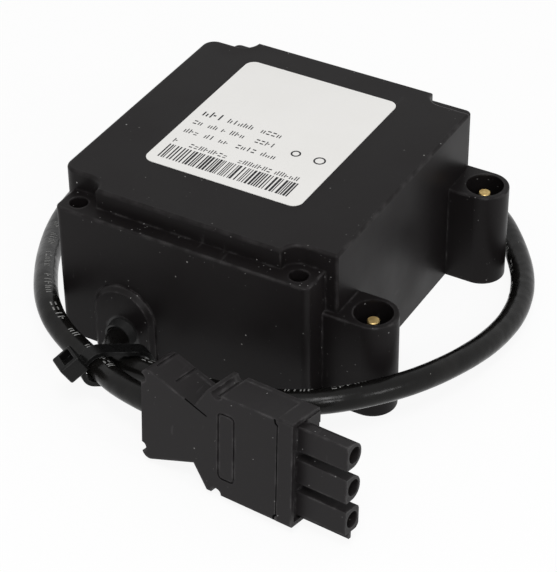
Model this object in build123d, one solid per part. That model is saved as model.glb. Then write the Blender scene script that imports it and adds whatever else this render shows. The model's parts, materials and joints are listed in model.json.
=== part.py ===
"""Ignition transformer: a potted case with two high-voltage sockets, a mains cord and a three-pole plug.

Millimetres, +Z up. The case stands on its open, potted side at z = 0, and the origin is the middle of the
four mounting holes. +X is the side with the high-voltage sockets, and -Y is the side where the cord leaves.
"""
import math
import os

from build123d import *

# Case
block_width = 87.6
case_depth = 99.5
case_height = 49.5
ledge_drop = 6.0
ledge_width = 5.0
ledge_side_inset = 3.7
notch_length = 14.5
notch_depth = 10.0
notch_corner_radius = 5.0
wall = 2.5
plain_side_corner_radius = 4.0
socket_side_corner_radius = 0.8
ledge_corner_radius = 2.0
top_edge_radius = 0.9
ledge_edge_radius = 0.6

# Mounting holes through the ledges
hole_inset_x = 8.8
hole_inset_y = 4.75
hole_diameter = 5.4
column_wall = 2.2

# High-voltage sockets on the +X side
socket_inset = 15.25
socket_stand_off = 8.2
socket_height = 30.5
socket_bore = 11.0
socket_wall = 1.6
socket_floor_top = 11.0
socket_floor = 2.5
socket_edge_radius = 0.5
pin_diameter = 3.5
pin_top = 28.0
pin_chamfer = 0.2
pin_root_diameter = 4.4
pin_tail_diameter = 2.6
pin_collar_diameter = 6.0
pin_collar = 1.2
pin_tail_bottom = 3.5

# Cord entry: a thickened arch on the -Y face, and a grommet in a slot that is open to the base
entry_x = -18.4
entry_z = 8.7
arch_width = 20.0
arch_top = 23.5
arch_thickness = 1.8
arch_chamfer = 1.3
slot_half_width = 5.2
grommet_nozzle_length = 2.8
grommet_nozzle_root = 9.0
grommet_nozzle_tip = 8.2
grommet_flange_overlap = 1.4
grommet_flange = 1.5

# Potting compound and label
potting_recess = 0.8
label_width = 50.0
label_depth = 60.0
label_corner_radius = 3.0
label_thickness = 0.15
label_x = -1.3
label_y = 4.4

# Laminated core, stack along Z, with legs along Y, and the room between it and the case
leg_width = 14.0
leg_spacing = 40.0
core_end_space = 8.25
coil_space = 2.5
shunt_width = 6.0
shunt_gap = 1.0
strap_width = 7.0
strap_thickness = 0.8

# Coils on the legs
bobbin_clearance = 0.2
bobbin_wall = 1.2
bobbin_flange = 1.2
bobbin_end_clearance = 0.4
flange_rim = 0.4
winding_thickness = 7.2
secondary_gap = 0.8
winding_corner_radius = 6.0
terminal_diameter = 1.2
terminal_length = 4.4
terminal_rise = 3.5
terminal_spacing = 12.0

# Wires inside the case
core_wire_diameter = 2.2
core_wire_pitch = 2.3
wire_bend = 2.4
ht_wire_diameter = 3.0
ht_wire_bend = 5.0
ht_wire_z = 5.4
ht_wire_x = 32.0
wire_riser_gap = 3.4

# Earth tag, riveted to the front yoke
tag_width = 4.6
tag_thickness = 0.8
tag_height = 12.0
tag_foot = 4.4
rivet_diameter = 2.4
rivet_head_diameter = 4.2
rivet_head = 0.8
rivet_depth = 4.0

# Mains cord: its first run through the grommet, then points of its route round the case to the plug
cord_diameter = 7.0
cord_start = 3.45
cord_turn = 12.65
cord_route = [
    (1.0, -64.0, 9.2), (20.1, -64.0, 10.6), (35.0, -62.0, 12.4), (47.9, -57.3, 14.0), (58.1, -48.3, 14.4),
    (65.8, -35.8, 13.0), (71.0, -19.9, 10.4), (73.7, -2.9, 7.6), (73.1, 13.8, 5.4), (68.2, 30.2, 4.2),
    (58.6, 44.7, 3.8), (46.8, 57.8, 3.6), (31.0, 65.6, 3.6), (10.0, 69.6, 3.6), (-12.0, 69.2, 3.6),
    (-32.6, 63.6, 3.6), (-50.1, 53.3, 3.6), (-63.0, 39.1, 3.6), (-70.2, 22.7, 3.6), (-71.2, 5.8, 3.7),
    (-67.7, -10.9, 4.4), (-60.0, -27.1, 7.6), (-50.1, -43.5, 12.0), (-40.2, -56.8, 14.0), (-30.2, -64.3, 12.8),
    (-15.2, -70.4, 12.0),
]
plug_cord_approach = 9.0

# Plug, in its own axes: a runs forward, t runs away from the near face and u runs up the near face
plug_corner = (59.5, -93.3, 3.0)
plug_yaw = -7.0
plug_pitch = 3.1
plug_roll = -6.7
plug_height = 31.6
plug_thickness = 11.4
plug_length = 49.5
plug_flange_length = 4.9
plug_wall = 1.5
lid_thickness = 1.4
waist_start = 31.9
waist_end = 27.5
waist_depth = 6.6
tail_taper = 0.6
cover_step = 0.4
tail_corner_radius = 2.4
latch_notch_radius = 1.6
latch_notch_place = 24.4
tail_notch_radius = 1.4
tail_notch_place = 5.0
badge_place = 21.2
badge_width = 5.6
badge_height = 20.6
badge_corner_radius = 1.5
badge_line = 0.5
badge_depth = 0.4
tail_grooves = (0.17, 0.54)
groove_width = 0.7
groove_depth = 0.5
groove_start = 3.0
pole_pitch = 9.8
pole_offset = 0.4
sleeve_length = 15.0
sleeve_height = 7.1
sleeve_thickness = 5.8
sleeve_corner_radius = 1.6
sleeve_round_radius = 3.4
sleeve_bore = 4.6
face_recess = 0.8
face_rim = 1.2
key_length = 0.3
key_height = 3.4
key_thickness = 5.6
coding_rib_height = 1.9
coding_rib_thickness = 0.9
coding_rib_place = 1.2
block_tail_length = 15.0
block_clearance = 0.1
contact_diameter = 4.4
contact_bore = 3.6
contact_recess = 3.0
contact_bore_depth = 12.0
clamp_block_length = 9.0
clamp_block_width = 5.6
clamp_block_start = 19.0
wire_hole_share = 0.8
plug_lead_straight = 4.0
plug_lead_bend = 6.0
terminal_screw_diameter = 3.0
terminal_screw_length = 2.8
terminal_slot = 0.6
cord_end_in_plug = 9.5
cord_clamp_length = 4.4
cord_clamp_arch = 1.3
cord_clamp_ear = 2.0
cord_clamp_width = 17.2
cord_clamp_place = 43.0
clamp_screw_spacing = 13.0
clamp_screw_diameter = 2.2
clamp_screw_head = 3.6
clamp_screw_head_height = 1.2
plug_fit = 0.1

# Cable tie round the two stretches of cord in front of the cord entry
tie_at_grommet = (-7.7, -62.4, 8.7)
tie_at_tail = (-13.5, -71.4, 12.6)
tie_heading = -33.0
tie_clearance = 0.8
tie_width = 4.2
tie_thickness = 1.3
tie_head_reach = 8.4
tie_head_angle = 177.0
tie_head_turn = 230.5
tie_head_length = 6.3
tie_head_height = 6.2
tie_head_width = 6.4
tie_head_edge = 0.6
tie_window = (3.2, 4.6, 2.6)
tie_window_shift = -0.5

# Worked out from the sizes above
block_depth = case_depth - 2 * ledge_width
case_front = -case_depth / 2
ledge_height = case_height - ledge_drop
block_side = block_width / 2
ledge_side = block_side - ledge_side_inset
hole_spacing_x = block_width - 2 * hole_inset_x
hole_spacing_y = case_depth - 2 * hole_inset_y
socket_spacing = case_depth - 2 * socket_inset
socket_x = block_side + socket_stand_off
socket_radius = socket_bore / 2 + socket_wall
socket_floor_bottom = socket_floor_top - socket_floor
coil_build = bobbin_clearance + bobbin_wall + winding_thickness + flange_rim
core_bottom = coil_space + coil_build
core_top = case_height - wall - coil_space - coil_build
core_stack = core_top - core_bottom
core_z = (core_bottom + core_top) / 2
terminal_z = core_top + terminal_rise
tag_bottom = core_z - tag_height / 2
window_length = case_depth - 2 * (wall + core_end_space + leg_width)
leg_x = leg_spacing / 2
yoke_outer = window_length / 2 + leg_width
core_width = leg_spacing + leg_width
bobbin_hole = (leg_width + 2 * bobbin_clearance, core_stack + 2 * bobbin_clearance)
plug_middle_t = plug_thickness / 2
plug_middle_u = plug_height / 2
pole_middle_u = plug_middle_u + pole_offset
cord_t = plug_wall + cord_diameter / 2
cord_start_y = case_front + cord_start
primary_start = bobbin_end_clearance - window_length / 2
primary_end = -primary_start
riser_y = -yoke_outer - wire_riser_gap
terminal_screw_a = -clamp_block_start + clamp_block_length / 2

# Where the plug lies and how it is turned
plug_turn = Rotation(0, 0, plug_yaw) * Rotation(0, -plug_pitch, 0) * Rotation(plug_roll, 0, 0)
plug_axes = Location(plug_corner) * plug_turn

# A cylinder that starts at its place and goes up, and the length of a cut that goes right through
standing = (Align.CENTER, Align.CENTER, Align.MIN)
cut_reach = 200.0


def box_between(low, high):
    """A box between two opposite corners."""
    size = [b - a for a, b in zip(low, high)]
    return Pos(*low) * Box(*size, align=Align.MIN)


def upright_cylinder(x, y, diameter, bottom, top):
    """A cylinder along Z."""
    return Pos(x, y, bottom) * Cylinder(diameter / 2, top - bottom, align=standing)


def tube_along(path, diameter):
    """A round bar swept along a path from its start."""
    return sweep(Plane(path @ 0, z_dir=path % 0) * Circle(diameter / 2), path=path)


def wire_through(points, diameter, bend):
    """A round wire through the points, with one bend radius at all its corners."""
    return tube_along(FilletPolyline(*points, radius=bend), diameter)


def round_side_corners(plan):
    """Rounds a plan's outer corners: softly on the plain side, crisply on the side with the sockets."""
    for side, radius in ((-1, plain_side_corner_radius), (1, socket_side_corner_radius)):
        corners = [v for v in plan.vertices() if abs(v.X - side * block_side) < 0.01]
        plan = fillet(corners, radius)
    return plan


def block_outline(shrink=0.0):
    """Plan of the raised block, whose four corners are cut back round the screw heads."""
    plan = Rectangle(block_width - 2 * shrink, block_depth - 2 * shrink)
    cut = RectangleRounded(
        2 * (notch_length + shrink), 2 * (notch_depth + shrink), notch_corner_radius + shrink
    )
    for side in (-1, 1):
        for end in (-1, 1):
            plan -= Pos(side * block_width / 2, end * case_depth / 2) * cut
    return plan


def ledge_outline(shrink=0.0):
    """Plan of the case below the ledges: the block's sides, and the narrower ledges in front and behind."""
    ledges = Rectangle(2 * (ledge_side - shrink), case_depth - 2 * shrink)
    sides = Rectangle(block_width - 2 * shrink, case_depth - 2 * notch_depth - 2 * shrink)
    return ledges + sides


def hole_places():
    """The four mounting holes."""
    return [(sx * hole_spacing_x / 2, sy * hole_spacing_y / 2) for sx in (-1, 1) for sy in (-1, 1)]


def case_cavity(bottom):
    """The space inside the case, from a given height up to the walls of its top and ledges."""
    low = Pos(0, 0, bottom) * extrude(ledge_outline(wall), ledge_height - wall - bottom)
    high = Pos(0, 0, bottom) * extrude(block_outline(wall), case_height - wall - bottom)
    space = low + high
    for x, y in hole_places():
        space -= upright_cylinder(x, y, hole_diameter + 2 * column_wall, bottom, ledge_height)
    for end in (-1, 1):
        y = end * socket_spacing / 2
        space += upright_cylinder(socket_x, y, socket_bore, bottom, socket_floor_bottom)
        half = socket_bore / 2 - socket_wall
        low = (block_side - 2 * wall, y - half, bottom)
        space += box_between(low, (socket_x, y + half, socket_floor_bottom))
    return space


def entry_arch(half_width, top, front, back):
    """A door-shaped prism on the -Y face, from the base up to a round top."""
    centre = top - half_width
    plan = Pos(entry_x, centre / 2) * Rectangle(2 * half_width, centre)
    plan += Pos(entry_x, centre) * Circle(half_width)
    return extrude(Plane.XZ.offset(-back) * plan, back - front)


def make_housing():
    """The one-piece moulded case with its ledges, screw columns, sockets and cord entry."""
    block = extrude(round_side_corners(block_outline()), case_height)
    block = fillet(block.faces().sort_by(Axis.Z)[-1].edges(), top_edge_radius)

    sides = Rectangle(block_width, case_depth - 2 * notch_depth)
    ledges = extrude(round_side_corners(sides), ledge_height)
    ledges += extrude(RectangleRounded(2 * ledge_side, case_depth, ledge_corner_radius), ledge_height)
    top_edges = ledges.faces().sort_by(Axis.Z)[-1].edges()
    rims = [e for e in top_edges if abs(abs(e.center().Y) - case_depth / 2) < 0.01]
    ledges = fillet(rims, ledge_edge_radius)
    case = block + ledges

    for end in (-1, 1):
        plan = Pos(socket_x, 0) * Circle(socket_radius)
        root = ledge_side - wall / 2
        plan += Pos((root + socket_x) / 2, 0) * Rectangle(socket_x - root, 2 * socket_radius)
        tower = extrude(Pos(0, end * socket_spacing / 2) * plan, socket_height)
        tower = fillet(tower.faces().sort_by(Axis.Z)[-1].edges(), socket_edge_radius)
        case += tower

    arch = entry_arch(arch_width / 2, arch_top, case_front - arch_thickness, case_front)
    rim = [e for e in arch.faces().sort_by(Axis.Y)[0].edges() if e.center().Z > 0.01]
    case += chamfer(rim, arch_chamfer)

    case -= case_cavity(0)
    for x, y in hole_places():
        case -= upright_cylinder(x, y, hole_diameter, 0, case_height)
    for y in (-socket_spacing / 2, socket_spacing / 2):
        case -= upright_cylinder(socket_x, y, socket_bore, socket_floor_top, case_height)
        case -= upright_cylinder(socket_x, y, pin_root_diameter, 0, socket_floor_top)
    slot_top = entry_z + slot_half_width
    case -= entry_arch(slot_half_width, slot_top, case_front - arch_thickness, case_front + wall)
    return case


def make_grommet():
    """The cord's grommet: it fills the slot, grips the wall from inside and ends in a short nozzle."""
    slot_top = entry_z + slot_half_width
    inside = case_front + wall
    body = entry_arch(slot_half_width, slot_top, case_front - arch_thickness, inside)
    flange_top = slot_top + grommet_flange_overlap
    body += entry_arch(slot_half_width + grommet_flange_overlap, flange_top, inside, inside + grommet_flange)
    nozzle = Cone(grommet_nozzle_root / 2, grommet_nozzle_tip / 2, grommet_nozzle_length, align=standing)
    mouth = Plane((entry_x, case_front - arch_thickness, entry_z), z_dir=(0, -1, 0))
    body += mouth * nozzle
    body -= box_between(
        (entry_x - arch_width, case_front - arch_thickness, 0), (entry_x + arch_width, 0, potting_recess)
    )
    bore = Cylinder(cord_diameter / 2, cut_reach)
    return body - mouth * bore


def make_ht_pin(end):
    """A brass socket pin: a thicker root in the socket's floor, a collar under it and a tail for its wire."""
    y = end * socket_spacing / 2
    shank = upright_cylinder(socket_x, y, pin_diameter, socket_floor_bottom, pin_top)
    shank = chamfer(shank.faces().sort_by(Axis.Z)[-1].edges(), pin_chamfer)
    shank += upright_cylinder(socket_x, y, pin_root_diameter, socket_floor_bottom, socket_floor_top)
    shank += upright_cylinder(socket_x, y, pin_tail_diameter, pin_tail_bottom, socket_floor_bottom)
    collar = upright_cylinder(
        socket_x, y, pin_collar_diameter, socket_floor_bottom - pin_collar, socket_floor_bottom
    )
    return shank + collar


def make_label():
    """The white rating label on top of the case."""
    plan = RectangleRounded(label_width, label_depth, label_corner_radius)
    return Pos(label_x, label_y, case_height) * extrude(plan, label_thickness)


def stacked(low, high):
    """A block of laminations between two plan corners, as high as the core's stack."""
    return box_between((*low, core_bottom), (*high, core_top))


def make_core_u():
    """The U of the laminated core: the front yoke and both legs, with the hole of the earth rivet."""
    half = core_width / 2
    core = stacked((-half, -yoke_outer), (half, -window_length / 2))
    for x in (-leg_x, leg_x):
        core += stacked((x - leg_width / 2, -window_length / 2), (x + leg_width / 2, window_length / 2))
    return core - earth_rivet_shank()


def make_core_i():
    """The I of the laminated core, which closes the legs at the back."""
    return stacked((-core_width / 2, window_length / 2), (core_width / 2, yoke_outer))


def make_shunt():
    """The laminated magnetic shunt between the coils, which limits the output current."""
    half = window_length / 2 - shunt_gap
    return stacked((-shunt_width / 2, -half), (shunt_width / 2, half))


def make_shunt_spacers():
    """The two pieces of pressboard that hold the shunt's air gaps."""
    half = window_length / 2
    front = stacked((-shunt_width / 2, -half), (shunt_width / 2, shunt_gap - half))
    return [front, mirror(front, Plane.XZ)]


def make_core_strap():
    """The steel band that holds the U and the I together."""
    outer = yoke_outer + strap_thickness
    low = (-strap_width / 2, -outer, core_bottom - strap_thickness)
    band = box_between(low, (strap_width / 2, outer, core_top + strap_thickness))
    band = fillet(band.edges().filter_by(Axis.X), strap_thickness)
    return band - box_between((-strap_width, -yoke_outer, core_bottom), (strap_width, yoke_outer, core_top))


def coil_section(thickness, corner):
    """Section of a coil out to a given thickness over its bobbin's tube."""
    width = bobbin_hole[0] + 2 * (bobbin_wall + thickness)
    height = bobbin_hole[1] + 2 * (bobbin_wall + thickness)
    return RectangleRounded(width, height, corner)


def along_leg(plan, x, start, end):
    """Extrudes a section, drawn in X and Z about a leg, from one place along the leg to another."""
    return extrude(Plane((x, end, core_z), x_dir=(1, 0, 0), z_dir=(0, -1, 0)) * plan, end - start)


def make_bobbin(x, start, end):
    """A moulded bobbin: a square tube on the leg with a flange at each end."""
    flange_plan = coil_section(winding_thickness + flange_rim, winding_corner_radius)
    spool = along_leg(coil_section(0, bobbin_wall), x, start, end)
    spool += along_leg(flange_plan, x, start, start + bobbin_flange)
    spool += along_leg(flange_plan, x, end - bobbin_flange, end)
    return spool - along_leg(Rectangle(*bobbin_hole), x, start - bobbin_wall, end + bobbin_wall)


def make_winding(x, start, end):
    """The wound wire of one coil, between its bobbin's flanges."""
    ring = coil_section(winding_thickness, winding_corner_radius) - coil_section(0, bobbin_wall)
    return along_leg(ring, x, start + bobbin_flange, end - bobbin_flange)


def secondary_span(end):
    """Start and end along Y of the front (-1) or rear (+1) secondary coil."""
    inner, outer = secondary_gap / 2, window_length / 2 - bobbin_end_clearance
    return (inner, outer) if end > 0 else (-outer, -inner)


def terminal_places():
    """X of the primary's two terminal pins."""
    return (-leg_x - terminal_spacing / 2, -leg_x + terminal_spacing / 2)


def make_primary_pins():
    """The two terminal pins on the front flange of the primary bobbin."""
    pin = Cylinder(terminal_diameter / 2, terminal_length, align=standing)
    return [Plane((x, primary_start, terminal_z), z_dir=(0, -1, 0)) * pin for x in terminal_places()]


def make_supply_lead(index):
    """The live (0) or neutral (1) core, from the cord's end up past the yoke to a terminal pin."""
    x = terminal_places()[index]
    start_x = entry_x + (-core_wire_pitch if index == 0 else core_wire_pitch)
    points = [
        (start_x, cord_start_y, entry_z), (start_x, riser_y, entry_z), (x, riser_y, core_bottom + wire_bend),
        (x, riser_y, terminal_z), (x, primary_start - terminal_length, terminal_z),
    ]
    return wire_through(points, core_wire_diameter, wire_bend)


def make_earth_lead():
    """The earth core, from the cord's end up to the foot of the earth tag."""
    points = [(entry_x, cord_start_y, entry_z), (entry_x, riser_y, entry_z), (entry_x, riser_y, tag_bottom)]
    return wire_through(points, core_wire_diameter, wire_bend)


def make_earth_tag():
    """The bent earth tag on the front yoke."""
    half = tag_width / 2
    back = -yoke_outer
    plate = box_between(
        (entry_x - half, back - tag_thickness, tag_bottom), (entry_x + half, back, tag_bottom + tag_height)
    )
    foot = box_between(
        (entry_x - half, back - tag_foot, tag_bottom), (entry_x + half, back, tag_bottom + tag_thickness)
    )
    return plate + foot - earth_rivet_shank()


def earth_rivet_shank():
    """The rivet's shank, through the tag and into the yoke."""
    length = tag_thickness + rivet_depth
    place = Plane((entry_x, -yoke_outer - tag_thickness, tag_bottom + tag_height / 2), z_dir=(0, 1, 0))
    return place * Cylinder(rivet_diameter / 2, length, align=standing)


def make_earth_rivet():
    """The rivet that holds the tag."""
    place = Plane((entry_x, -yoke_outer - tag_thickness, tag_bottom + tag_height / 2), z_dir=(0, -1, 0))
    head = Cylinder(rivet_head_diameter / 2, rivet_head, align=standing)
    return earth_rivet_shank() + place * fillet(head.faces().sort_by(Axis.Z)[-1].edges(), rivet_head / 2)


def make_ht_lead(end):
    """The insulated lead from a secondary coil to the tail of its socket pin."""
    start = end * (window_length / 2 - bobbin_end_clearance)
    y = end * socket_spacing / 2
    points = [(ht_wire_x, start, ht_wire_z), (ht_wire_x, y, ht_wire_z), (socket_x, y, ht_wire_z)]
    return wire_through(points, ht_wire_diameter, ht_wire_bend) - make_ht_pin(end)


def make_potting(inner_pieces):
    """The compound that fills the case round everything inside it."""
    filling = case_cavity(potting_recess)
    for piece in inner_pieces:
        filling -= piece
    return filling


def plug_rod(start, diameter, length, direction):
    """A cylinder in the plug's own axes."""
    rod = Cylinder(diameter / 2, length, align=standing)
    return Plane(start, z_dir=direction) * rod


def pole_heights():
    """Heights of the three poles up the near face: earth at the top, then the middle and the lowest."""
    return [pole_middle_u + pole_pitch, pole_middle_u, pole_middle_u - pole_pitch]


def cover_outline(shrink=0.0):
    """Outline of the plug's cover: full height in front, a waist, and a tail that widens to the rear."""
    half = plug_middle_u - cover_step
    front = -plug_flange_length + shrink
    waist = (-waist_start, half - waist_depth)
    tail = (-plug_length, half - tail_taper)
    upper = [(front, 0), (front, half), (-waist_end, half), waist, tail, (-plug_length, 0)]
    profile = make_face(Polyline(*upper, close=True))
    profile += mirror(profile, Plane.XZ)
    corners = [v for v in profile.vertices() if abs(v.X + plug_length) < 0.01 and abs(v.Y) > half / 2]
    profile = fillet(corners, tail_corner_radius)
    return offset(profile, -shrink, kind=Kind.INTERSECTION) if shrink else profile


def cover_prism(shrink, near, far):
    """The cover's outline as a solid between two distances from the near face."""
    face = Plane((0, far, plug_middle_u), x_dir=(1, 0, 0), z_dir=(0, -1, 0))
    return extrude(face * cover_outline(shrink), far - near)


def cover_cuts():
    """What is cut from the cover and the lid alike: latch notches, tail notches and the tail's grooves."""
    cuts = []
    for edge_u in (cover_step, plug_height - cover_step):
        start = (-latch_notch_place, 0, edge_u)
        cuts.append(plug_rod(start, 2 * latch_notch_radius, plug_thickness, (0, 1, 0)))
    for edge_u in (tail_notch_place, plug_height - tail_notch_place):
        start = (-plug_length, 0, edge_u)
        cuts.append(plug_rod(start, 2 * tail_notch_radius, plug_thickness, (0, 1, 0)))
    run = plug_length - waist_start
    rise = waist_depth - tail_taper
    groove = Box(groove_width, plug_thickness, 2 * groove_depth, align=(Align.CENTER, Align.MIN, Align.CENTER))
    for side in (-1, 1):
        tilt = Rotation(0, side * math.degrees(math.atan2(rise, run)), 0)
        for share in tail_grooves:
            u = plug_middle_u + side * (plug_middle_u - cover_step - tail_taper - share * rise)
            cuts.append(Pos(share * run - plug_length, groove_start, u) * tilt * groove)
    return cuts


def clamp_screw_heights():
    """Heights of the cord clamp's two screws."""
    return [plug_middle_u - clamp_screw_spacing / 2, plug_middle_u + clamp_screw_spacing / 2]


def make_plug_cover():
    """The plug's cover: a deep tray with the cord entry, clamp bosses and an engraved frame round a bare field."""
    split = plug_thickness - lid_thickness
    cover = cover_prism(0, 0, split)
    for cut in cover_cuts():
        cover -= cut
    cover -= cover_prism(plug_wall, plug_wall, split)
    cover -= box_between(
        (-plug_flange_length - 2 * plug_wall, plug_wall, plug_wall), (0, split, plug_height - plug_wall)
    )
    boss_height = cord_t - plug_wall / 2
    for u in clamp_screw_heights():
        boss_start = (-cord_clamp_place, plug_wall / 2, u)
        cover += plug_rod(boss_start, 2 * clamp_screw_diameter, boss_height, (0, 1, 0))
        hole_start = (-cord_clamp_place, plug_wall, u)
        cover -= plug_rod(hole_start, clamp_screw_diameter, plug_thickness, (0, 1, 0))
    entry_start = -plug_length - plug_wall
    cover -= plug_rod((entry_start, cord_t, plug_middle_u), cord_diameter, cord_end_in_plug, (1, 0, 0))
    badge = RectangleRounded(badge_width, badge_height, badge_corner_radius)
    badge -= offset(badge, -badge_line)
    face = Plane((-badge_place, badge_depth, plug_middle_u), x_dir=(1, 0, 0), z_dir=(0, -1, 0))
    return cover - extrude(face * badge, badge_depth)


def make_plug_lid():
    """The flat lid on the far side of the cover."""
    lid = cover_prism(0, plug_thickness - lid_thickness, plug_thickness)
    for cut in cover_cuts():
        lid -= cut
    return lid


def sleeve_section(index):
    """Section of one sleeve: flat towards the near face and round away from it, or square at the lowest pole."""
    section = Rectangle(sleeve_thickness, sleeve_height)
    far_corners = section.vertices().sort_by(Axis.X)[-2:]
    return fillet(far_corners, sleeve_round_radius if index < 2 else sleeve_corner_radius)


def facing(a, t, u):
    """A plane across the plug's length, facing forward."""
    return Plane((a, t, u), x_dir=(0, 1, 0), z_dir=(1, 0, 0))


def make_contact_block():
    """The plug's contact block: a flange, sleeves in a recessed face, a key, and the terminal body inside."""
    flange = box_between((-plug_flange_length, 0, 0), (0, plug_thickness, plug_height))
    flange = fillet(flange.edges().filter_by(Axis.X), face_rim / 2)
    inner_t = plug_wall + block_clearance
    tail_far = plug_thickness - lid_thickness - block_clearance
    tail_start = -plug_flange_length - block_tail_length
    inner_u = inner_t + cover_step
    body_low = (tail_start, inner_t, inner_u)
    block = flange + box_between(body_low, (-plug_flange_length, tail_far, plug_height - inner_u))
    rim_high = (0, plug_thickness - face_rim, plug_height - face_rim)
    block -= box_between((-face_recess, face_rim, face_rim), rim_high)
    for index, u in enumerate(pole_heights()):
        root = facing(-face_recess, plug_middle_t, u)
        block += extrude(root * sleeve_section(index), sleeve_length + face_recess)
    key_u = plug_height - face_rim
    block += box_between(
        (-face_recess, plug_thickness - key_thickness, key_u - key_height), (key_length, plug_thickness, key_u)
    )
    rib_t = plug_middle_t - coding_rib_place
    rib_u = pole_heights()[2] - sleeve_height / 2
    rib_low = (-face_recess, rib_t, rib_u - coding_rib_height)
    block += box_between(rib_low, (sleeve_length, rib_t + coding_rib_thickness, rib_u + coding_rib_thickness / 2))
    for u in pole_heights():
        block -= plug_rod((tail_start, plug_middle_t, u), sleeve_bore, cut_reach, (1, 0, 0))
        pocket_half = clamp_block_width / 2 + plug_fit
        pocket_low = (tail_start, plug_middle_t - pocket_half, u - pocket_half)
        pocket_end = -clamp_block_start + clamp_block_length + plug_fit
        block -= box_between(pocket_low, (pocket_end, plug_middle_t + pocket_half, u + pocket_half))
        screw_hole = terminal_screw_diameter + 2 * plug_fit
        block -= plug_rod((terminal_screw_a, plug_middle_t, u), screw_hole, plug_thickness, (0, 1, 0))
    return block


def make_contact(u):
    """One plug contact: a screw clamp for the wire and a socket tube in the sleeve."""
    half = clamp_block_width / 2
    tip = sleeve_length - contact_recess
    clamp = box_between(
        (-clamp_block_start, plug_middle_t - half, u - half),
        (-clamp_block_start + clamp_block_length, plug_middle_t + half, u + half),
    )
    start = -clamp_block_start + clamp_block_length
    contact = clamp + plug_rod((start, plug_middle_t, u), contact_diameter, tip - start, (1, 0, 0))
    bore_start = (tip - contact_bore_depth, plug_middle_t, u)
    contact -= plug_rod(bore_start, contact_bore, contact_bore_depth, (1, 0, 0))
    wire_start = (-clamp_block_start, plug_middle_t, u)
    contact -= plug_rod(wire_start, core_wire_diameter, clamp_block_length * wire_hole_share, (1, 0, 0))
    screw_start = (terminal_screw_a, plug_middle_t, u)
    return contact - plug_rod(screw_start, terminal_screw_diameter, plug_thickness, (0, 1, 0))


def make_terminal_screws():
    """The three terminal screws, which bear on the wires in the contacts."""
    seat = plug_middle_t + core_wire_diameter / 2
    far = seat + terminal_screw_length
    reach, half = terminal_screw_diameter, terminal_slot / 2
    screws = []
    for u in pole_heights():
        screw = plug_rod((terminal_screw_a, seat, u), terminal_screw_diameter, terminal_screw_length, (0, 1, 0))
        low = (terminal_screw_a - reach, far - terminal_slot, u - half)
        screws.append(screw - box_between(low, (terminal_screw_a + reach, far, u + half)))
    return screws


def make_plug_lead(index):
    """One core of the cord inside the plug, from the cord's end into its contact."""
    start_a = -plug_length + cord_end_in_plug
    start_u = plug_middle_u + (1 - index) * core_wire_pitch
    end_u = pole_heights()[index]
    end_a = -clamp_block_start + clamp_block_length * wire_hole_share
    points = [
        (start_a, cord_t, start_u), (start_a + plug_lead_straight, cord_t, start_u),
        (-clamp_block_start - plug_lead_straight, plug_middle_t, end_u), (end_a, plug_middle_t, end_u),
    ]
    return wire_through(points, core_wire_diameter, plug_lead_bend)


def make_cord_clamp():
    """The saddle that presses the cord into the cover: an arch over the cord, and an ear for each screw."""
    start = -cord_clamp_place - cord_clamp_length / 2
    outside = cord_diameter + 2 * cord_clamp_arch
    arch = plug_rod((start, cord_t, plug_middle_u), outside, cord_clamp_length, (1, 0, 0))
    end = start + cord_clamp_length
    low_u = plug_middle_u - cord_clamp_width / 2
    high_u = plug_middle_u + cord_clamp_width / 2
    arch -= box_between((start, 0, low_u), (end, cord_t, high_u))
    ears = box_between((start, cord_t, low_u), (end, cord_t + cord_clamp_ear, high_u))
    saddle = arch + ears
    saddle -= plug_rod((-plug_length, cord_t, plug_middle_u), cord_diameter, plug_length, (1, 0, 0))
    for u in clamp_screw_heights():
        saddle -= plug_rod((-cord_clamp_place, 0, u), clamp_screw_diameter, plug_thickness, (0, 1, 0))
    return saddle


def make_clamp_screws():
    """The two screws of the cord clamp."""
    seat = cord_t + cord_clamp_ear
    screws = []
    for u in clamp_screw_heights():
        shank = plug_rod((-cord_clamp_place, plug_wall, u), clamp_screw_diameter, seat - plug_wall, (0, 1, 0))
        head = plug_rod((-cord_clamp_place, seat, u), clamp_screw_head, clamp_screw_head_height, (0, 1, 0))
        screws.append(shank + head)
    return screws


def cord_radii(points):
    """The largest smooth radius at each corner of a route."""
    radii = []
    for before, corner, after in zip(points, points[1:], points[2:]):
        first, second = Vector(corner) - Vector(before), Vector(after) - Vector(corner)
        turn = math.radians(first.get_angle(second))
        radii.append(0.45 * min(first.length, second.length) / math.tan(turn / 2))
    return radii


def cord_points():
    """The cord's whole route, straight out of the grommet at one end and straight into the plug at the other."""
    leave = (entry_x, cord_start_y, entry_z)
    turn = (entry_x, case_front - cord_turn, entry_z)
    enter = plug_axes * Location((-plug_length - plug_cord_approach, cord_t, plug_middle_u))
    inside = plug_axes * Location((-plug_length + cord_end_in_plug, cord_t, plug_middle_u))
    return [leave, turn, *cord_route, tuple(enter.position), tuple(inside.position)]


def make_cord():
    """The mains cord as a plain tube."""
    points = cord_points()
    radii = cord_radii(points)
    path = FilletPolyline(*points, radius=radii)
    print("cord length", round(path.length, 1), "radii", [round(r) for r in radii])
    cord = tube_along(path, cord_diameter)
    section = math.pi * cord_diameter**2 / 4
    print("cord volume over section times length", round(cord.volume / (path.length * section), 4))
    return cord


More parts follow.
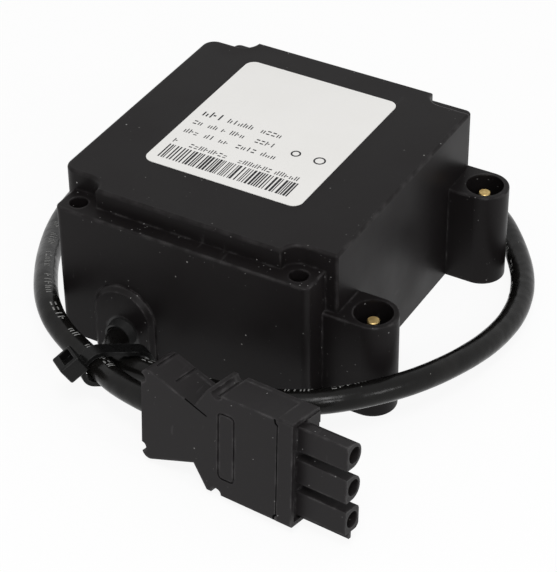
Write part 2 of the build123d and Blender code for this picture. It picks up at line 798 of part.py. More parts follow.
def make_cable_tie():
    """The cable tie: a flat strap round both stretches of cord, and a head with its window on the outer side."""
    tail, grommet = Vector(*tie_at_tail), Vector(*tie_at_grommet)
    heading = math.radians(tie_heading)
    normal = Vector(math.cos(heading), math.sin(heading), 0)
    across = grommet - tail
    across = across - normal * across.dot(normal)
    span = across.length
    frame = Plane((tail + grommet) / 2, x_dir=across.normalized(), z_dir=normal)
    inner = cord_diameter / 2 + tie_clearance
    outside = extrude(SlotCenterToCenter(span, 2 * (inner + tie_thickness)), tie_width / 2, both=True)
    inside = extrude(SlotCenterToCenter(span, 2 * inner), tie_head_width, both=True)
    reach = Pos(-span / 2, 0, 0) * Rotation(0, 0, tie_head_angle) * Pos(tie_head_reach, 0, 0)
    turned = reach * Rotation(0, 0, tie_head_turn - tie_head_angle)
    head = Box(tie_head_length, tie_head_height, tie_head_width)
    head = turned * fillet(head.edges(), tie_head_edge)
    window_length, window_width, window_depth = tie_window
    window_place = Pos(tie_window_shift, (window_depth - tie_head_height) / 2, 0)
    window = turned * window_place * Box(window_length, window_depth, window_width)
    return frame * (outside + head - inside - window)


def export(name, shape):
    """Writes one node's STEP file. A list is a group of separate solids."""
    if isinstance(shape, list):
        shape = Compound(children=shape)
    export_step(shape, f"parts/{name}.step")


os.makedirs("parts", exist_ok=True)

core_pieces = {
    "core_u": make_core_u(),
    "core_i": make_core_i(),
    "core_strap": make_core_strap(),
    "magnetic_shunt": make_shunt(),
    "shunt_spacers": make_shunt_spacers(),
    "primary_bobbin": make_bobbin(-leg_x, primary_start, primary_end),
    "primary_winding": make_winding(-leg_x, primary_start, primary_end),
    "primary_pins": make_primary_pins(),
    "secondary_bobbin_front": make_bobbin(leg_x, *secondary_span(-1)),
    "secondary_winding_front": make_winding(leg_x, *secondary_span(-1)),
    "secondary_bobbin_rear": make_bobbin(leg_x, *secondary_span(1)),
    "secondary_winding_rear": make_winding(leg_x, *secondary_span(1)),
    "ht_lead_front": make_ht_lead(-1),
    "ht_lead_rear": make_ht_lead(1),
    "ht_pin_front": make_ht_pin(-1),
    "ht_pin_rear": make_ht_pin(1),
    "live_lead": make_supply_lead(0),
    "neutral_lead": make_supply_lead(1),
    "earth_lead": make_earth_lead(),
    "earth_tag": make_earth_tag(),
    "earth_rivet": make_earth_rivet(),
    "cord_grommet": make_grommet(),
}
cord = make_cord()

nodes = dict(core_pieces)
nodes["housing"] = make_housing()
fillers = [cord]
for piece in core_pieces.values():
    fillers += piece if isinstance(piece, list) else [piece]
nodes["potting_compound"] = make_potting(fillers)
nodes["label"] = make_label()
nodes["cord"] = cord
nodes["cable_tie"] = make_cable_tie()
nodes["plug_contact_block"] = plug_axes * make_contact_block()
nodes["plug_cover"] = plug_axes * make_plug_cover()
nodes["plug_lid"] = plug_axes * make_plug_lid()
for name, height, index in zip(("earth", "middle", "lower"), pole_heights(), range(3)):
    nodes[f"plug_contact_{name}"] = plug_axes * make_contact(height)
    nodes[f"plug_lead_{name}"] = plug_axes * make_plug_lead(index)
nodes["plug_terminal_screws"] = [plug_axes * screw for screw in make_terminal_screws()]
nodes["plug_cord_clamp"] = plug_axes * make_cord_clamp()
nodes["plug_clamp_screws"] = [plug_axes * screw for screw in make_clamp_screws()]

for name, shape in nodes.items():
    export(name, shape)
print(len(nodes), "nodes")
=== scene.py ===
import json
import math
import random

import bmesh
import bpy
from mathutils import Matrix, Vector


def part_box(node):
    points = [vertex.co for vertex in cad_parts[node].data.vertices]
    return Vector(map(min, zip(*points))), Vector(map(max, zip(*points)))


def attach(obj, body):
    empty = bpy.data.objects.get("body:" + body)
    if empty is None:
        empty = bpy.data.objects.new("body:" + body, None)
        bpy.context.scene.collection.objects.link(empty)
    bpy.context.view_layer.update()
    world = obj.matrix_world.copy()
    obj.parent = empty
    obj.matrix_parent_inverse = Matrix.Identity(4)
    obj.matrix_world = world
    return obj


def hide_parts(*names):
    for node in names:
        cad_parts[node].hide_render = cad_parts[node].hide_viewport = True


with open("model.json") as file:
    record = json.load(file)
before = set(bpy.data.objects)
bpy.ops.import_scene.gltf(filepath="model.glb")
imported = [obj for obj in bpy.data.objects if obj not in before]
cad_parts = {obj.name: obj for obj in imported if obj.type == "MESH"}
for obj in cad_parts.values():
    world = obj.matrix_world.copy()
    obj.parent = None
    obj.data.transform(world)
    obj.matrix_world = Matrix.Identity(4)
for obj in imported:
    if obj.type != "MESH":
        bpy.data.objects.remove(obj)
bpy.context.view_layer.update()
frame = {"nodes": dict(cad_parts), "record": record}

MM = 0.001

# Camera, at the photograph's viewing angle: metres, degrees and millimetres of lens
camera_place = (0.2704, -0.4600, 0.4002)
camera_azimuth = 30.218
camera_elevation = 37.039
camera_roll = -0.729
camera_lens = 141.69

# Mains cord, in metres: where it leaves the case, and its route from the grommet into the plug
cord_diameter = 0.007
cord_route = [
    (-0.0184, -0.0463, 0.0087), (-0.0192, -0.0632, 0.0087), (0.0010, -0.0640, 0.0092),
    (0.0201, -0.0640, 0.0106), (0.0350, -0.0620, 0.0124), (0.0479, -0.0573, 0.0140),
    (0.0581, -0.0483, 0.0144), (0.0658, -0.0358, 0.0130), (0.0710, -0.0199, 0.0104),
    (0.0737, -0.0029, 0.0076), (0.0731, 0.0138, 0.0054), (0.0682, 0.0302, 0.0042),
    (0.0586, 0.0447, 0.0038), (0.0468, 0.0578, 0.0036), (0.0310, 0.0656, 0.0036),
    (0.0100, 0.0696, 0.0036), (-0.0120, 0.0692, 0.0036), (-0.0326, 0.0636, 0.0036),
    (-0.0501, 0.0533, 0.0036), (-0.0630, 0.0391, 0.0036), (-0.0702, 0.0227, 0.0036),
    (-0.0712, 0.0058, 0.0037), (-0.0677, -0.0109, 0.0044), (-0.0600, -0.0271, 0.0076),
    (-0.0501, -0.0435, 0.0120), (-0.0402, -0.0568, 0.0140), (-0.0302, -0.0643, 0.0128),
    (-0.0152, -0.0704, 0.0120), (0.0015, -0.0793, 0.0149), (0.0199, -0.0816, 0.0159),
]

# Print on the cord, in metres: where it starts and how far before the end it stops, the size and pitch of
# its signs, how many make a word, the gaps between words, and how far it rises, as the label's print does.
# The turns are degrees from the cord's top towards the loop's inside, at distances along it.
print_start = 0.027
print_end_margin = 0.030
print_height = 0.0021
print_width = 0.00135
print_pitch = 0.00215
print_word_lengths = (2, 3, 3, 4, 5)
print_gaps = (0.003, 0.006)
print_rise = 0.00002
print_turns = [(0.0, 22), (0.085, 24), (0.105, 78), (0.185, 70), (0.215, 38), (0.3, 14), (0.6, 14)]

# Plug, in metres and degrees: its front lower corner, how it is turned, and the places of its seams and
# notches. Its own axes run forward, from its near face to its far one, and up.
plug_corner = (0.0595, -0.0933, 0.0030)
plug_yaw = -7.0
plug_pitch = 3.1
plug_roll = -6.7
plug_height = 0.0316
plug_flange_length = 0.0049
waist_corner = (-0.0319, 0.0248)
tail_slope = (0.0176, -0.0060)
seam_low = -0.00002
seam_high = 0.000015
seam_half_width = 0.00014
seam_end_gap = 0.002
hook_inset = 0.0004
notch_place = 0.0244
notch_floor = 0.0021
notch_floor_half_length = 0.0012
notch_floor_half_thickness = 0.0001
cover_wall = 0.0014
cover_depth = 0.0100

# Outlines on the plug's near face, in millimetres: a hook, from the joint and the edge, and the slit, from
# the waist's corner along and across the tail's slope
hook_outline = [(-1.1, 0.0), (-0.5, 0.0), (-0.4, 0.9), (0.3, 1.7), (0.1, 2.1), (-0.9, 1.3)]
slit_outline = [(-3.0, 0.2), (-3.0, -0.3), (4.5, -0.4), (4.8, 0.0)]

# Label print, in millimetres from the label's middle: rows of words as (start, end, bottom, height), the
# width and pitch of their signs as shares of the height, two rings and a field of bars
word_rows = [
    (-21.9, -15.6, -2.9, 3.0), (-13.6, -4.2, -2.7, 2.2), (-2.6, 3.6, -2.7, 2.2),
    (-22.1, -18.4, -7.8, 2.1), (-17.1, -13.8, -7.8, 2.1), (-12.7, -11.0, -7.8, 2.1),
    (-9.9, -4.6, -7.8, 2.1), (-1.6, 4.8, -7.8, 2.1),
    (-22.1, -17.4, -12.8, 2.1), (-15.4, -11.8, -12.8, 2.1), (-10.6, -6.8, -12.8, 2.1),
    (-4.9, 1.6, -12.8, 2.1), (3.1, 7.2, -12.8, 2.1),
    (-22.1, -21.2, -18.6, 2.0), (-16.6, -4.0, -18.8, 2.0), (-0.6, 9.8, -19.0, 2.0), (11.2, 18.4, -19.0, 2.0),
]
sign_width = 0.52
sign_pitch = 0.78
sign_heights = (1.0, 1.0, 0.74)
ring_places = [(11.6, 1.5), (19.2, 1.8)]
ring_y = -7.2
ring_line = 0.5
ring_steps = 28
bars_start = -22.0
bars_end = 19.6
bars_bottom = -26.8
bars_top = -19.8
bar_widths = (0.3, 0.3, 0.45, 0.7)
bar_gaps = (0.3, 0.3, 0.5, 0.75)

# Surroundings: soft lights as (name, place, size, watts), the world's strength as light and as seen, how
# much of the floor is seen as plain white, its size, and how far it lies under the case's rim
lights = [
    ("key", (0.30, -0.55, 1.05), 0.35, 5.2),
    ("side", (1.1, -0.2, 0.6), 0.25, 2.0),
    ("front", (0.60, -0.85, 0.62), 0.24, 2.4),
]
world_light = 0.55
world_seen = 1.0
floor_white = 0.9
floor_half_size = 3.0
floor_drop = 0.00005


class Finish:
    """One procedural material while its nodes are added."""

    def __init__(self, name, colour, roughness, specular=0.5, metallic=0.0):
        self.material = bpy.data.materials.new(name)
        self.material.use_nodes = True
        self.tree = self.material.node_tree
        self.shader = self.tree.nodes["Principled BSDF"]
        self.shade = (*colour, 1.0)
        self.normal = None
        for socket, value in (
            ("Base Color", self.shade), ("Roughness", roughness),
            ("Specular IOR Level", specular), ("Metallic", metallic),
        ):
            self.shader.inputs[socket].default_value = value
        self.place = self.node("ShaderNodeTexCoord").outputs["Object"]

    def feed(self, socket, value):
        """Gives a socket a plain value or another node's output."""
        if isinstance(value, bpy.types.NodeSocket):
            self.tree.links.new(value, socket)
        else:
            socket.default_value = value

    def node(self, kind, sockets=None, **settings):
        """Adds a node with its settings and what its sockets take."""
        made = self.tree.nodes.new(kind)
        for name, value in settings.items():
            setattr(made, name, value)
        for name, value in (sockets or {}).items():
            self.feed(made.inputs[name], value)
        return made

    def noise(self, size, detail=3.0, stretch=(1.0, 1.0, 1.0)):
        """Cloudy noise with features of a given size in metres."""
        place = self.node("ShaderNodeMapping", {"Vector": self.place, "Scale": stretch}).outputs[0]
        sockets = {"Vector": place, "Scale": 1 / size, "Detail": detail}
        return self.node("ShaderNodeTexNoise", sockets).outputs[0]

    def stripes(self, pitch, axis):
        """Even bands across an axis."""
        sockets = {"Vector": self.place, "Scale": 2 * math.pi / 20 / pitch}
        return self.node("ShaderNodeTexWave", sockets, bands_direction=axis).outputs[1]

    def ease(self, value, low, high, start=0.0, end=1.0):
        """Smooth step of a value from start, at low, to end, at high."""
        sockets = {"Value": value, "From Min": low, "From Max": high, "To Min": start, "To Max": end}
        return self.node("ShaderNodeMapRange", sockets, interpolation_type="SMOOTHSTEP").outputs[0]

    def times(self, first, second):
        """The product of two values."""
        return self.node("ShaderNodeMath", {0: first, 1: second}, operation="MULTIPLY").outputs[0]

    def specks(self, cell, size, share):
        """Scattered dots: one in a part of the cells."""
        dots = self.node("ShaderNodeTexVoronoi", {"Vector": self.place, "Scale": 1 / cell})
        near = self.ease(dots.outputs["Distance"], size / cell, 0.5 * size / cell)
        draw = self.node("ShaderNodeSeparateColor", {0: dots.outputs["Color"]}).outputs[0]
        chosen = self.ease(draw, 1 - share, 1 - 0.9 * share)
        return self.times(near, chosen)

    def edges(self, radius):
        """How near the surface is to a sharp edge."""
        soft = self.node("ShaderNodeBevel", {"Radius": radius}, samples=4).outputs[0]
        true = self.node("ShaderNodeNewGeometry").outputs["Normal"]
        facing = self.node("ShaderNodeVectorMath", {0: soft, 1: true}, operation="DOT_PRODUCT")
        return self.ease(facing.outputs["Value"], 0.997, 0.95)

    def tint(self, share, colour):
        """Mixes another colour in where share is high."""
        mixed = self.node("ShaderNodeMix", {0: share, 6: self.shade, 7: (*colour, 1.0)}, data_type="RGBA")
        self.shade = mixed.outputs[2]
        self.feed(self.shader.inputs["Base Color"], self.shade)

    def roughen(self, value):
        """Lets a value drive the roughness."""
        self.feed(self.shader.inputs["Roughness"], value)

    def bump(self, height, distance):
        """Adds relief of a given depth in metres."""
        sockets = {"Height": height, "Distance": distance}
        if self.normal:
            sockets["Normal"] = self.normal
        self.normal = self.node("ShaderNodeBump", sockets).outputs[0]
        self.feed(self.shader.inputs["Normal"], self.normal)


def moulded(name, colour, roughness, specular, dust, edge_wear_and_highlight):
    """Moulded black plastic: fine grain, cloudy sheen, dust, and edges painted paler, partly as rubbed wear
    and partly as a painted highlight, with grit near them.
    """
    made = Finish(name, colour, roughness, specular)
    cloud = made.noise(0.022)
    pale = [2.5 * c + 0.03 for c in colour]
    dust_colour = (0.3, 0.295, 0.29)
    grit_colour = (0.34, 0.335, 0.33)
    made.tint(made.ease(cloud, 0.35, 0.75, 0.0, 0.35), [1.5 * c for c in colour])
    # Paler edges: partly rubbed wear, partly a painted highlight along the rounded edges
    rubbed_and_highlit_edges = made.times(made.edges(0.001), made.ease(made.noise(0.004), 0.4, 0.7, 0.1 * edge_wear_and_highlight, edge_wear_and_highlight))
    made.tint(rubbed_and_highlit_edges, pale)
    scratch = made.ease(made.noise(0.002, 2.0, (1.0, 0.12, 0.35)), 0.66, 0.74, 0.0, 0.25)
    made.tint(made.times(scratch, made.ease(made.noise(0.03), 0.5, 0.65)), pale)
    for cell, size, place in ((0.0035, 0.00028, 0.024), (0.0018, 0.00016, 0.011)):
        motes = made.times(made.specks(cell, size, dust), made.ease(made.noise(place), 0.48, 0.62))
        made.tint(motes, dust_colour)
    grit = made.times(made.specks(0.0015, 0.00025, dust), made.ease(made.noise(0.006), 0.45, 0.58))
    made.tint(made.times(grit, made.edges(0.004)), grit_colour)
    made.roughen(made.ease(cloud, 0.3, 0.75, roughness - 0.05, roughness + 0.08))
    made.bump(made.noise(0.00035, 2.0), 0.000012)
    made.bump(made.noise(0.012), 0.00005)
    return made.material


def cord_jacket(name):
    """The cord's satin jacket, with the faint lumps of the cores under it."""
    made = Finish(name, (0.0034, 0.0032, 0.0030), 0.26, 0.17)
    made.tint(made.ease(made.noise(0.009), 0.4, 0.7, 0.0, 0.5), (0.008, 0.0075, 0.0068))
    made.tint(made.times(made.specks(0.003, 0.0002, 0.25), 0.7), (0.2, 0.2, 0.19))
    made.roughen(made.ease(made.noise(0.006), 0.3, 0.7, 0.18, 0.32))
    made.bump(made.noise(0.004, 1.0), 0.00018)
    made.bump(made.noise(0.0005, 2.0), 0.00001)
    return made.material


def nylon(name):
    """The cable tie's nylon, with a painted highlight along its edges."""
    made = Finish(name, (0.005, 0.005, 0.005), 0.3, 0.14)
    # Painted highlight: paler colour along the tie's edges, broken up by noise
    made.tint(made.times(made.edges(0.0003), made.ease(made.noise(0.002), 0.35, 0.7)), (0.05, 0.05, 0.05))
    made.roughen(made.ease(made.noise(0.003), 0.3, 0.7, 0.22, 0.38))
    made.bump(made.noise(0.0006), 0.00002)
    return made.material


def rubber(name, colour, roughness=0.55):
    """Plain soft plastic or rubber, of the grommet and of the wires' sleeves."""
    made = Finish(name, colour, roughness, 0.35)
    made.tint(made.ease(made.noise(0.004), 0.35, 0.7, 0.0, 0.4), [1.4 * c for c in colour])
    made.bump(made.noise(0.0008), 0.00002)
    return made.material


def resin(name):
    """Cast potting compound: glossy, with slow waves and small pits."""
    made = Finish(name, (0.016, 0.013, 0.010), 0.24)
    made.tint(made.ease(made.noise(0.015), 0.35, 0.7), (0.024, 0.019, 0.014))
    made.bump(made.noise(0.02, 1.0), 0.0004)
    made.bump(made.specks(0.006, 0.0009, 0.5), -0.0003)
    return made.material


def paper(name):
    """The label's satin white film."""
    made = Finish(name, (0.79, 0.78, 0.76), 0.45, 0.3)
    made.tint(made.ease(made.noise(0.02), 0.35, 0.75, 0.0, 0.6), (0.765, 0.755, 0.73))
    made.tint(made.times(made.specks(0.005, 0.0002, 0.2), 0.5), (0.4, 0.38, 0.35))
    made.roughen(made.ease(made.noise(0.008), 0.3, 0.7, 0.38, 0.5))
    made.bump(made.noise(0.009), 0.00004)
    return made.material


def metal(name, colour, worn, roughness, stripe=None, axis="Z"):
    """Bare metal with slight tarnish, and with bands where it is laminated or wound."""
    made = Finish(name, colour, roughness, 0.5, 1.0)
    made.tint(made.ease(made.noise(0.002), 0.35, 0.7, 0.0, 0.7), worn)
    made.roughen(made.ease(made.noise(0.0012), 0.3, 0.7, roughness - 0.06, roughness + 0.12))
    made.bump(made.noise(0.0003), 0.000008)
    if stripe:
        made.bump(made.stripes(stripe, axis), 0.00002)
    return made.material


def board(name, colour, roughness):
    """Fibrous board or moulded bobbin plastic."""
    made = Finish(name, colour, roughness, 0.4)
    made.tint(made.ease(made.noise(0.001, 4.0, (1.0, 0.3, 1.0)), 0.35, 0.7), [0.8 * c for c in colour])
    made.bump(made.noise(0.0006), 0.00003)
    return made.material


def ink(name, colour, specular=0.1):
    """Printed ink, slightly broken up."""
    made = Finish(name, colour, 0.6, specular)
    made.tint(made.ease(made.noise(0.0006), 0.45, 0.75, 0.0, 0.6), [2.0 * c for c in colour])
    made.bump(made.noise(0.0004), 0.00001)
    return made.material


def make_finishes():
    """A material for each of the record's slots."""
    return {
        "case_black": moulded("case_black", (0.0066, 0.0056, 0.0058), 0.4, 0.1, dust=0.42, edge_wear_and_highlight=1.0),
        "plug_black": moulded("plug_black", (0.0120, 0.0108, 0.0112), 0.42, 0.13, dust=0.2, edge_wear_and_highlight=0.9),
        "cord_black": cord_jacket("cord_black"),
        "tie_black": nylon("tie_black"),
        "grommet_black": rubber("grommet_black", (0.008, 0.008, 0.008), 0.42),
        "potting_resin": resin("potting_resin"),
        "label_white": paper("label_white"),
        "brass": metal("brass", (0.62, 0.46, 0.2), (0.46, 0.31, 0.12), 0.42),
        "core_steel": metal("core_steel", (0.34, 0.34, 0.35), (0.2, 0.17, 0.14), 0.45, 0.0005, "Z"),
        "zinc_steel": metal("zinc_steel", (0.6, 0.6, 0.58), (0.42, 0.41, 0.38), 0.32),
        "copper_wire": metal("copper_wire", (0.6, 0.27, 0.12), (0.42, 0.17, 0.08), 0.25, 0.0004, "Y"),
        "bobbin_plastic": board("bobbin_plastic", (0.62, 0.57, 0.44), 0.45),
        "pressboard": board("pressboard", (0.36, 0.24, 0.13), 0.8),
        "wire_red": rubber("wire_red", (0.42, 0.03, 0.02)),
        "wire_brown": rubber("wire_brown", (0.12, 0.045, 0.02)),
        "wire_blue": rubber("wire_blue", (0.02, 0.07, 0.34)),
        "wire_green_yellow": rubber("wire_green_yellow", (0.25, 0.42, 0.04)),
    }


def finish_cad_nodes(finishes):
    """Every piece of the frame gets its slot's material."""
    for part in frame["record"]["subparts"]:
        mesh = frame["nodes"][part["node"]].data
        mesh.materials.clear()
        mesh.materials.append(finishes[part["material_slot"]])


def new_mesh_object(name, shape, material):
    """Turns a bmesh into an object with one material, which rides on the body."""
    mesh = bpy.data.meshes.new(name)
    bmesh.ops.recalc_face_normals(shape, faces=shape.faces)
    shape.to_mesh(mesh)
    shape.free()
    mesh.materials.append(material)
    made = bpy.data.objects.new(name, mesh)
    bpy.context.scene.collection.objects.link(made)
    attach(made, "root")
    return made


def add_prism(shape, outline, low, high):
    """Adds a flat-topped prism on a plan outline."""
    rings = [[shape.verts.new((x, y, z)) for x, y in outline] for z in (low, high)]
    count = len(outline)
    shape.faces.new(rings[0])
    shape.faces.new(rings[1])
    for i in range(count):
        j = (i + 1) % count
        shape.faces.new((rings[0][i], rings[0][j], rings[1][j], rings[1][i]))


def make_cord(finishes):
    """The mains cord: a smooth round line through its route."""
    curve = bpy.data.curves.new("mains_cord", "CURVE")
    curve.dimensions = "3D"
    spline = curve.splines.new("NURBS")
    spline.points.add(len(cord_route) - 1)
    for point, place in zip(spline.points, cord_route):
        point.co = (*place, 1.0)
    spline.order_u = 3
    spline.use_endpoint_u = True
    spline.resolution_u = 12
    curve.bevel_depth = cord_diameter / 2
    curve.bevel_resolution = 8
    curve.use_fill_caps = True
    curve.materials.append(finishes["cord_black"])
    cord = bpy.data.objects.new("mains_cord", curve)
    bpy.context.scene.collection.objects.link(cord)
    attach(cord, "root")
    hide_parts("cord")
    return cord


def line_of(cord):
    """Points along the cord's own line, read from its spline."""
    curve = cord.data.copy()
    curve.bevel_depth = 0.0
    plain = bpy.data.objects.new("plain_line", curve)
    mesh = bpy.data.meshes.new_from_object(plain)
    points = [v.co.copy() for v in mesh.vertices]
    bpy.data.objects.remove(plain)
    bpy.data.curves.remove(curve)
    bpy.data.meshes.remove(mesh)
    return points


def place_along(points, distance):
    """The point and direction at a distance along a line of points."""
    for first, second in zip(points, points[1:]):
        step = second - first
        if distance <= step.length:
            return first + step.normalized() * distance, step.normalized()
        distance -= step.length
    return points[-1], (points[-1] - points[-2]).normalized()


def sign_strokes(draw):
    """Strokes of one made-up sign in a cell one wide and one high: separate uprights and dashes."""
    kind = draw.random()
    if kind < 0.5:
        return [(0.0, 0.0, 0.3, draw.choice((0.7, 1.0))), (0.7, 0.0, 1.0, draw.choice((0.7, 1.0)))]
    if kind < 0.65:
        return [(0.34, 0.0, 0.66, 1.0)]
    if kind < 0.85:
        return [(0.0, 0.0, 0.3, 1.0), (0.5, 0.4, 1.0, 0.62)]
    return [(0.0, 0.0, 1.0, 0.22), (0.0, 0.64, 1.0, 0.86)]


def make_cord_marks(cord):
    """Made-up signs printed along the cord, where such a cord has its print."""
    points = line_of(cord)
    total = sum((b - a).length for a, b in zip(points, points[1:]))
    draw = random.Random(11)
    shape = bmesh.new()
    distance = print_start
    while distance < total - print_end_margin:
        for _ in range(draw.choice(print_word_lengths)):
            for stroke in sign_strokes(draw):
                add_cord_stroke(shape, points, distance, stroke)
            distance += print_pitch
        distance += draw.uniform(*print_gaps)
    return new_mesh_object("cord_marks", shape, ink("cord_print", (0.2, 0.2, 0.195)))


def print_angle(distance):
    """How far round from the cord's top its print lies, because the cord is twisted a little."""
    for (start, first), (end, last) in zip(print_turns, print_turns[1:]):
        if distance <= end:
            return math.radians(first + (last - first) * (distance - start) / (end - start))
    return math.radians(print_turns[-1][1])


def add_cord_stroke(shape, points, distance, stroke):
    """One stroke of a sign on the cord: a patch that bends round part of its girth."""
    left, low, right, high = stroke
    reach = cord_diameter / 2 + print_rise
    middle_angle = print_angle(distance)
    steps = 4 if high - low > 0.3 else 1
    rows = []
    for i in range(steps + 1):
        share = low + (high - low) * i / steps - 0.5
        angle = middle_angle + share * print_height / reach
        row = []
        for part in (left, right):
            centre, along = place_along(points, distance + part * print_width)
            side = Vector((0, 0, 1)).cross(along).normalized()
            up = along.cross(side).normalized()
            row.append(shape.verts.new(centre + (up * math.cos(angle) + side * math.sin(angle)) * reach))
        rows.append(row)
    for a, b in zip(rows, rows[1:]):
        shape.faces.new((a[0], a[1], b[1], b[0]))


def make_label_print(finishes):
    """Generic print on the label: rows of plain strokes, two plain rings and a field of bars."""
    low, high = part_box("label")
    centre = (low + high) / 2
    bottom, top = high.z, high.z + print_rise
    draw = random.Random(5)
    shape = bmesh.new()

    def prism(outline):
        add_prism(shape, [(centre.x + x * MM, centre.y + y * MM) for x, y in outline], bottom, top)

    def word(start, end, y, height):
        width = sign_width * height
        pitch = sign_pitch * height
        for i in range(max(1, round((end - start) / pitch))):
            tall = height * draw.choice(sign_heights)
            for left, lowest, right, highest in sign_strokes(draw):
                x0, x1 = (start + i * pitch + share * width for share in (left, right))
                y0, y1 = (y + share * tall for share in (lowest, highest))
                prism([(x0, y0), (x1, y0), (x1, y1), (x0, y1)])

    for row in word_rows:
        word(*row)

    for x, radius in ring_places:
        inner = radius - ring_line
        for i in range(ring_steps):
            a, b = (2 * math.pi * k / ring_steps for k in (i, i + 1))
            prism([
                (x + reach * math.cos(angle), ring_y + reach * math.sin(angle))
                for reach, angle in ((radius, a), (radius, b), (inner, b), (inner, a))
            ])

    x = bars_start
    while x < bars_end:
        width = draw.choice(bar_widths)
        prism([(x, bars_bottom), (x + width, bars_bottom), (x + width, bars_top), (x, bars_top)])
        x += width + draw.choice(bar_gaps)
    printed = new_mesh_object("label_print", shape, ink("label_ink", (0.022, 0.022, 0.024)))
    return printed


def plug_axes():
    """The plug's own axes: along its length, through its thickness and up its height."""
    turn = (
        Matrix.Rotation(math.radians(plug_yaw), 4, "Z") @ Matrix.Rotation(math.radians(-plug_pitch), 4, "Y")
        @ Matrix.Rotation(math.radians(plug_roll), 4, "X")
    )
    return Matrix.Translation(plug_corner) @ turn


def make_notch_floors(finishes):
    """Thin floors under the cover's two edge notches, inside the cover."""
    shape = bmesh.new()
    start, end = (-(notch_place + way * notch_floor_half_length) for way in (1, -1))
    outline = [(start, cover_wall), (end, cover_wall), (end, cover_depth), (start, cover_depth)]
    for level in (notch_floor, plug_height - notch_floor):
        add_prism(shape, outline, level - notch_floor_half_thickness, level + notch_floor_half_thickness)
    bmesh.ops.transform(shape, matrix=plug_axes(), verts=shape.verts)
    floors = new_mesh_object("plug_notch_floors", shape, finishes["plug_black"])
    return floors


def make_plug_seams():
    """Dark lines on the plug's near face: the cover's front joint, its hooked ends and the waist's slit."""
    shape = bmesh.new()
    joint = -plug_flange_length
    left, right = joint - seam_half_width, joint + seam_half_width
    bottom, top = seam_end_gap, plug_height - seam_end_gap
    add_prism(shape, [(left, bottom), (right, bottom), (right, top), (left, top)], seam_low, seam_high)
    for end, way in ((hook_inset, 1), (plug_height - hook_inset, -1)):
        hook = [(joint + along * MM, end + way * up * MM) for along, up in hook_outline]
        add_prism(shape, hook, seam_low, seam_high)
    start = Vector(waist_corner)
    run = Vector(tail_slope).normalized()
    across = Vector((-run.y, run.x))
    slit = [start + (run * along + across * aside) * MM for along, aside in slit_outline]
    add_prism(shape, slit, seam_low, seam_high)
    # Outlines are drawn along the plug and up its height, and their thickness comes out of its near face
    near_face = Matrix(((1, 0, 0, 0), (0, 0, -1, 0), (0, 1, 0, 0), (0, 0, 0, 1)))
    bmesh.ops.transform(shape, matrix=plug_axes() @ near_face, verts=shape.verts)
    return new_mesh_object("plug_seams", shape, ink("seam_shade", (0.003, 0.003, 0.003), specular=0.0))


def make_camera():
    """The camera at the photograph's view."""
    azimuth, elevation, roll = (math.radians(a) for a in (camera_azimuth, camera_elevation, camera_roll))
    level = math.cos(elevation)
    back = Vector((math.sin(azimuth) * level, -math.cos(azimuth) * level, math.sin(elevation)))
    right = Vector((math.cos(azimuth), math.sin(azimuth), 0.0))
    up = back.cross(right)
    turned_right = right * math.cos(roll) + up * math.sin(roll)
    turned_up = up * math.cos(roll) - right * math.sin(roll)
    place = Matrix((turned_right, turned_up, back)).transposed().to_4x4()
    place.translation = camera_place
    data = bpy.data.cameras.new("camera")
    data.lens = camera_lens
    data.clip_start = 0.01
    camera = bpy.data.objects.new("camera", data)
    camera.matrix_world = place
    bpy.context.scene.collection.objects.link(camera)
    bpy.context.scene.camera = camera


def area_light(name, place, size, watts):
    """A square soft light that faces the object."""
    data = bpy.data.lights.new(name, "AREA")
    data.size = size
    data.energy = watts
    light = bpy.data.objects.new(name, data)
    light.location = place
    light.rotation_euler = (Vector((0, 0, 0.02)) - Vector(place)).to_track_quat("-Z", "Y").to_euler()
    bpy.context.scene.collection.objects.link(light)


def seen_directly(tree):
    """Share that is 1 for camera, glossy and transmission rays, and 0 for the others."""
    path = tree.nodes.new("ShaderNodeLightPath")
    share = path.outputs["Is Camera Ray"]
    for name in ("Is Glossy Ray", "Is Transmission Ray"):
        most = tree.nodes.new("ShaderNodeMath")
        most.operation = "MAXIMUM"
        tree.links.new(share, most.inputs[0])
        tree.links.new(path.outputs[name], most.inputs[1])
        share = most.outputs[0]
    return share


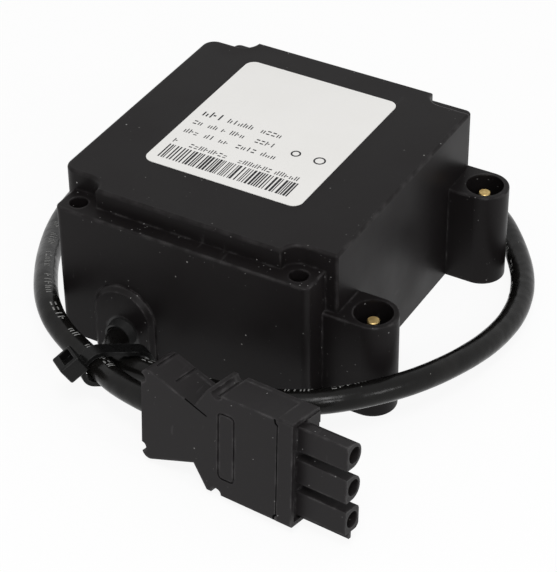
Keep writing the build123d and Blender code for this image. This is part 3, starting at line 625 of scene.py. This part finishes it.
def make_surroundings():
    """White surroundings with an even, moderate light, and three soft lights."""
    world = bpy.data.worlds.new("studio")
    world.use_nodes = True
    tree = world.node_tree
    sky = tree.nodes["Background"]
    strength = tree.nodes.new("ShaderNodeMapRange")
    strength.inputs["To Min"].default_value = world_light
    strength.inputs["To Max"].default_value = world_seen
    tree.links.new(seen_directly(tree), strength.inputs["Value"])
    tree.links.new(strength.outputs[0], sky.inputs["Strength"])
    sky.inputs["Color"].default_value = (1.0, 1.0, 1.0, 1.0)
    bpy.context.scene.world = world
    for light in lights:
        area_light(*light)


def make_floor():
    """A plain pale floor that reads as white and keeps a soft shadow."""
    material = bpy.data.materials.new("floor")
    material.use_nodes = True
    tree = material.node_tree
    shader = tree.nodes["Principled BSDF"]
    shader.inputs["Base Color"].default_value = (0.9, 0.9, 0.9, 1.0)
    shader.inputs["Roughness"].default_value = 0.8
    glow = tree.nodes.new("ShaderNodeEmission")
    glow.inputs["Strength"].default_value = 1.0
    share = tree.nodes.new("ShaderNodeMath")
    share.operation = "MULTIPLY"
    share.inputs[1].default_value = floor_white
    tree.links.new(seen_directly(tree), share.inputs[0])
    mix = tree.nodes.new("ShaderNodeMixShader")
    tree.links.new(share.outputs[0], mix.inputs[0])
    tree.links.new(shader.outputs[0], mix.inputs[1])
    tree.links.new(glow.outputs[0], mix.inputs[2])
    tree.links.new(mix.outputs[0], tree.nodes["Material Output"].inputs["Surface"])
    shape = bmesh.new()
    bmesh.ops.create_grid(shape, x_segments=8, y_segments=8, size=floor_half_size)
    mesh = bpy.data.meshes.new("floor")
    shape.to_mesh(mesh)
    shape.free()
    mesh.materials.append(material)
    floor = bpy.data.objects.new("floor", mesh)
    floor.location.z = -floor_drop
    bpy.context.scene.collection.objects.link(floor)


finishes = make_finishes()
finish_cad_nodes(finishes)
cord = make_cord(finishes)
marks = make_cord_marks(cord)
make_label_print(finishes)
seams = make_plug_seams()
notch_floors = make_notch_floors(finishes)
make_camera()
make_surroundings()
make_floor()
bpy.context.scene.view_settings.view_transform = "Standard"
